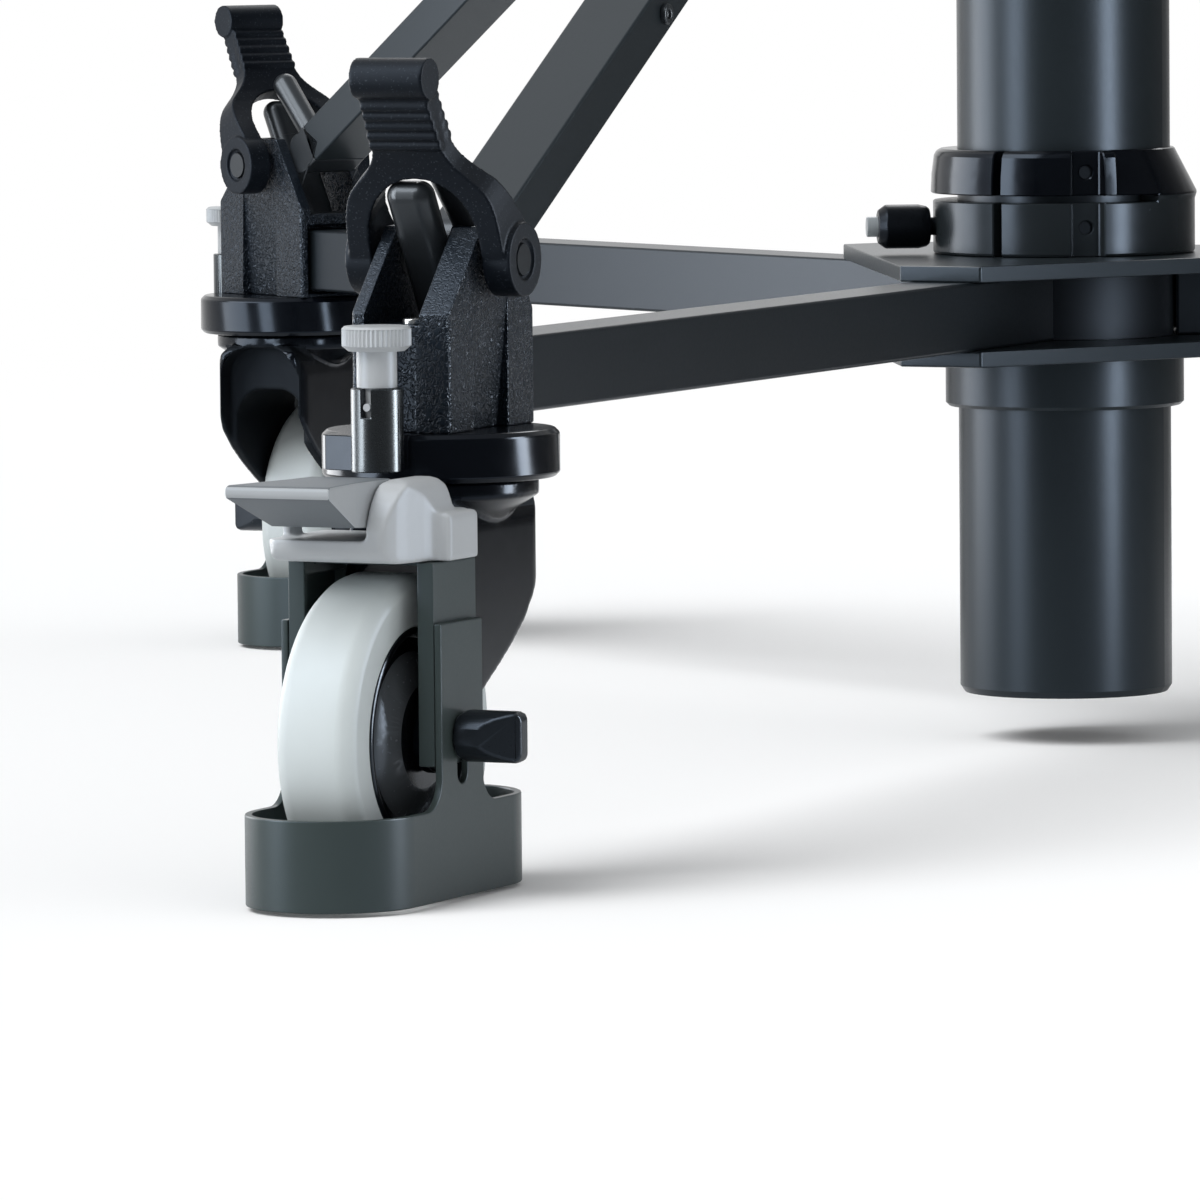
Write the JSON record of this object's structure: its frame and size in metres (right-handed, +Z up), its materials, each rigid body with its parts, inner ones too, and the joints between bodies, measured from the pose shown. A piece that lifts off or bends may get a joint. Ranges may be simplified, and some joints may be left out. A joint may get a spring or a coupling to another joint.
{
  "type": "studio camera pedestal",
  "caption": "Column camera pedestal on a braced three-legged dolly with braked swivel castors, cable guards and latch levers, and a steering ring below a flat head seat.",
  "frame": {"origin": "on the column's axis at floor level, under the centre of the dolly", "axes": "+Z up along the column; -Y along the front leg, +X to the right of it seen from the front leg"},
  "size_m": [1.2854, 1.211, 0.862],
  "materials": {
    "dark_paint": "satin",
    "gloss_black": "gloss",
    "wrinkle_black": "wrinkle paint",
    "black_steel": "satin",
    "steel": "brushed",
    "black_plastic": "satin",
    "lever_black": "matte",
    "grey_plastic": "matte",
    "light_plastic": "matte",
    "tyre_grey": "matte",
    "hub_black": "gloss",
    "grip_black": "satin",
    "anodised_black": "satin"
  },
  "bodies": {
    "column": {"column_tube": "dark_paint", "hub_top_plate": "dark_paint", "hub_bottom_plate": "dark_paint", "lower_collar": "dark_paint", "clamp_collar": "gloss_black", "clamp_screws": "black_steel", "brace_collar": "dark_paint", "brace_pins": "steel", "column_cap": "gloss_black", "leg_tubes": "dark_paint", "swivel_rings": "gloss_black", "lever_pins": "black_steel", "castor_tower_front": "wrinkle_black", "castor_tower_right": "wrinkle_black", "castor_tower_left": "wrinkle_black"},
    "lift": {"lift_tube": "steel", "lift_guide": "light_plastic", "head_plate": "anodised_black", "steering_ring": "grip_black"},
    "height_lock": {"height_lock_knob": "black_plastic"},
    "index": {"index_plunger": "black_plastic"},
    "brace_front": {"brace_tube_front": "dark_paint", "brace_foot_front": "black_steel"},
    "latch_front": {"latch_lever_front": "lever_black"},
    "lock_front": {"lock_plunger_front": "grey_plastic"},
    "swivel_front": {"castor_fork_front": "gloss_black", "guard_bracket_front": "dark_paint", "brake_housing_front": "light_plastic", "wheel_axle_front": "steel"},
    "wheel_front": {"wheel_tyre_front": "tyre_grey", "wheel_hub_front": "hub_black"},
    "pedal_front": {"brake_pedal_front": "grey_plastic"},
    "guard_front": {"cable_guard_front": "dark_paint"},
    "wing_front": {"guard_knob_front": "black_plastic"},
    "brace_right": {"brace_tube_right": "dark_paint", "brace_foot_right": "black_steel"},
    "latch_right": {"latch_lever_right": "lever_black"},
    "lock_right": {"lock_plunger_right": "grey_plastic"},
    "swivel_right": {"castor_fork_right": "gloss_black", "guard_bracket_right": "dark_paint", "brake_housing_right": "light_plastic", "wheel_axle_right": "steel"},
    "wheel_right": {"wheel_tyre_right": "tyre_grey", "wheel_hub_right": "hub_black"},
    "pedal_right": {"brake_pedal_right": "grey_plastic"},
    "guard_right": {"cable_guard_right": "dark_paint"},
    "wing_right": {"guard_knob_right": "black_plastic"},
    "brace_left": {"brace_tube_left": "dark_paint", "brace_foot_left": "black_steel"},
    "latch_left": {"latch_lever_left": "lever_black"},
    "lock_left": {"lock_plunger_left": "grey_plastic"},
    "swivel_left": {"castor_fork_left": "gloss_black", "guard_bracket_left": "dark_paint", "brake_housing_left": "light_plastic", "wheel_axle_left": "steel"},
    "wheel_left": {"wheel_tyre_left": "tyre_grey", "wheel_hub_left": "hub_black"},
    "pedal_left": {"brake_pedal_left": "grey_plastic"},
    "guard_left": {"cable_guard_left": "dark_paint"},
    "wing_left": {"guard_knob_left": "black_plastic"}
  },
  "joints": [
    {"name": "lift_slide", "type": "slide", "parent": "column", "child": "lift", "axis": [0, 0, 1], "range_m": [0, 0.4]},
    {"name": "height_lock_turn", "type": "hinge", "parent": "column", "child": "height_lock", "pos_m": [0, 0, 0.706], "axis": [0.866, -0.5, 0], "range_deg": [0, 360]},
    {"name": "index_slide", "type": "slide", "parent": "column", "child": "index", "axis": [-0.866, -0.5, 0], "range_m": [0, 0.008], "stiffness_N_per_m": 600},
    {"name": "brace_fold_front", "type": "hinge", "parent": "column", "child": "brace_front", "pos_m": [0, -0.08, 0.55874], "axis": [-1, 0, 0], "range_deg": [0, 38]},
    {"name": "latch_swing_front", "type": "hinge", "parent": "column", "child": "latch_front", "pos_m": [0, -0.6304, 0.243], "axis": [1, 0, 0], "range_deg": [0, 50]},
    {"name": "lock_slide_front", "type": "slide", "parent": "column", "child": "lock_front", "axis": [0, 0, 1], "range_m": [0, 0.012], "stiffness_N_per_m": 500},
    {"name": "swivel_front", "type": "hinge", "parent": "column", "child": "swivel_front", "pos_m": [0, -0.634, 0.16], "axis": [0, 0, 1], "continuous": true},
    {"name": "wheel_spin_front", "type": "hinge", "parent": "swivel_front", "child": "wheel_front", "pos_m": [0, -0.6865, 0.0625], "axis": [1, 0, 0], "continuous": true},
    {"name": "brake_press_front", "type": "hinge", "parent": "swivel_front", "child": "pedal_front", "pos_m": [0, -0.704, 0.151], "axis": [1, 0, 0], "range_deg": [0, 12]},
    {"name": "guard_slide_front", "type": "slide", "parent": "swivel_front", "child": "guard_front", "axis": [0, 0, 1], "range_m": [0, 0.014]},
    {"name": "wing_turn_front", "type": "hinge", "parent": "swivel_front", "child": "wing_front", "pos_m": [0, -0.6875, 0.0635], "axis": [1, 0, 0], "range_deg": [0, 360]},
    {"name": "brace_fold_right", "type": "hinge", "parent": "column", "child": "brace_right", "pos_m": [0.06928, 0.04, 0.55874], "axis": [0.5, -0.866, 0], "range_deg": [0, 38]},
    {"name": "latch_swing_right", "type": "hinge", "parent": "column", "child": "latch_right", "pos_m": [0.54594, 0.3152, 0.243], "axis": [-0.5, 0.866, 0], "range_deg": [0, 50]},
    {"name": "lock_slide_right", "type": "slide", "parent": "column", "child": "lock_right", "axis": [0, 0, 1], "range_m": [0, 0.012], "stiffness_N_per_m": 500},
    {"name": "swivel_right", "type": "hinge", "parent": "column", "child": "swivel_right", "pos_m": [0.54906, 0.317, 0.16], "axis": [0, 0, 1], "continuous": true},
    {"name": "wheel_spin_right", "type": "hinge", "parent": "swivel_right", "child": "wheel_right", "pos_m": [0.59453, 0.34325, 0.0625], "axis": [-0.5, 0.866, 0], "continuous": true},
    {"name": "brake_press_right", "type": "hinge", "parent": "swivel_right", "child": "pedal_right", "pos_m": [0.60968, 0.352, 0.151], "axis": [-0.5, 0.866, 0], "range_deg": [0, 12]},
    {"name": "guard_slide_right", "type": "slide", "parent": "swivel_right", "child": "guard_right", "axis": [0, 0, 1], "range_m": [0, 0.014]},
    {"name": "wing_turn_right", "type": "hinge", "parent": "swivel_right", "child": "wing_right", "pos_m": [0.59539, 0.34375, 0.0635], "axis": [-0.5, 0.866, 0], "range_deg": [0, 360]},
    {"name": "brace_fold_left", "type": "hinge", "parent": "column", "child": "brace_left", "pos_m": [-0.06928, 0.04, 0.55874], "axis": [0.5, 0.866, 0], "range_deg": [0, 38]},
    {"name": "latch_swing_left", "type": "hinge", "parent": "column", "child": "latch_left", "pos_m": [-0.54594, 0.3152, 0.243], "axis": [-0.5, -0.866, 0], "range_deg": [0, 50]},
    {"name": "lock_slide_left", "type": "slide", "parent": "column", "child": "lock_left", "axis": [0, 0, 1], "range_m": [0, 0.012], "stiffness_N_per_m": 500},
    {"name": "swivel_left", "type": "hinge", "parent": "column", "child": "swivel_left", "pos_m": [-0.54906, 0.317, 0.16], "axis": [0, 0, 1], "continuous": true},
    {"name": "wheel_spin_left", "type": "hinge", "parent": "swivel_left", "child": "wheel_left", "pos_m": [-0.54906, 0.3695, 0.0625], "axis": [-1, 0, 0], "continuous": true},
    {"name": "brake_press_left", "type": "hinge", "parent": "swivel_left", "child": "pedal_left", "pos_m": [-0.54906, 0.387, 0.151], "axis": [-1, 0, 0], "range_deg": [0, 12]},
    {"name": "guard_slide_left", "type": "slide", "parent": "swivel_left", "child": "guard_left", "axis": [0, 0, 1], "range_m": [0, 0.014]},
    {"name": "wing_turn_left", "type": "hinge", "parent": "swivel_left", "child": "wing_left", "pos_m": [-0.54906, 0.3705, 0.0635], "axis": [-1, 0, 0], "range_deg": [0, 360]}
  ]
}
